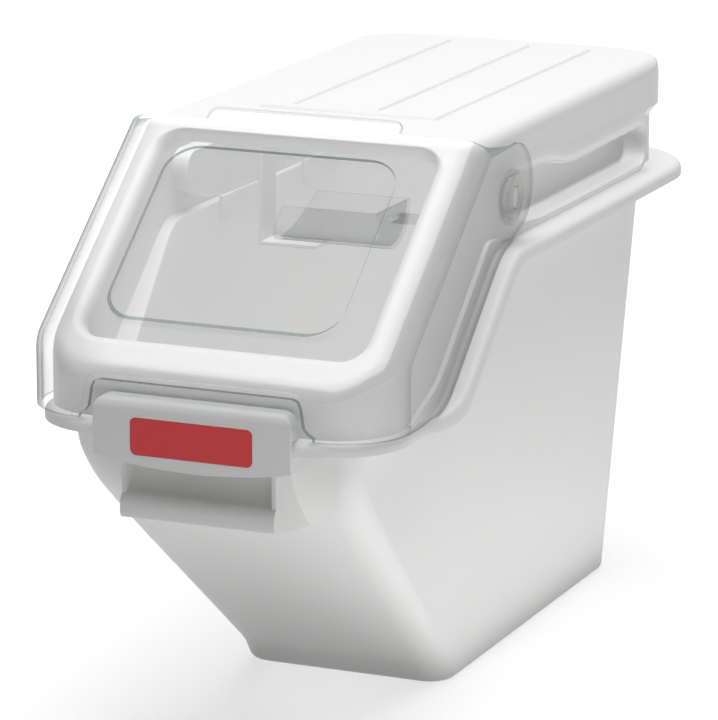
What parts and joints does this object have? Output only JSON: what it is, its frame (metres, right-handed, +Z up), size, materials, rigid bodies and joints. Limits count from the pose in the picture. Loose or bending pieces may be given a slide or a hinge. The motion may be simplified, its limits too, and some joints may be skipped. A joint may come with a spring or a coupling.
{
  "type": "shelf ingredient bin",
  "caption": "White tapered shelf bin for flour with a wide rim, a lift-off hood, a clear sloped lid that tilts up on side pivots, a front finger grip and a stored scoop.",
  "frame": {"origin": "on the shelf, under the middle of the overall length and width", "axes": "+Z up, the front with its handle faces -Y, +X to the right of the front view seen from the front"},
  "size_m": [0.2908, 0.6172, 0.4166],
  "materials": {
    "white_plastic": "satin white moulded polyethylene",
    "hood_plastic": "white moulded polypropylene",
    "clear_plastic": "clear polycarbonate",
    "pivot_plastic": "clear polycarbonate, frosted",
    "grip_plastic": "satin white moulded plastic",
    "label_plastic": "red printed plastic, blank"
  },
  "bodies": {
    "tub_body": {"tub": "white_plastic", "handle_block": "grip_plastic", "finger_grip": "grip_plastic", "label_panel": "label_plastic"},
    "hood_body": {"hood": "hood_plastic", "scoop_hanger": "grip_plastic"},
    "lid_body": {"lid": "clear_plastic", "pivot_left": "pivot_plastic", "pivot_right": "pivot_plastic"},
    "scoop_body": {"scoop": "clear_plastic"}
  },
  "joints": [
    {"name": "hood_lift", "type": "slide", "parent": "tub_body", "child": "hood_body", "axis": [0, 0, 1], "range_m": [0, 0.15]},
    {"name": "lid_tilt", "type": "hinge", "parent": "hood_body", "child": "lid_body", "pos_m": [0, -0.06886, 0.359], "axis": [-1, 0, 0], "range_deg": [0, 62]},
    {"name": "scoop_draw", "type": "slide", "parent": "hood_body", "child": "scoop_body", "axis": [0, -1, 0], "range_m": [0, 0.06]}
  ]
}
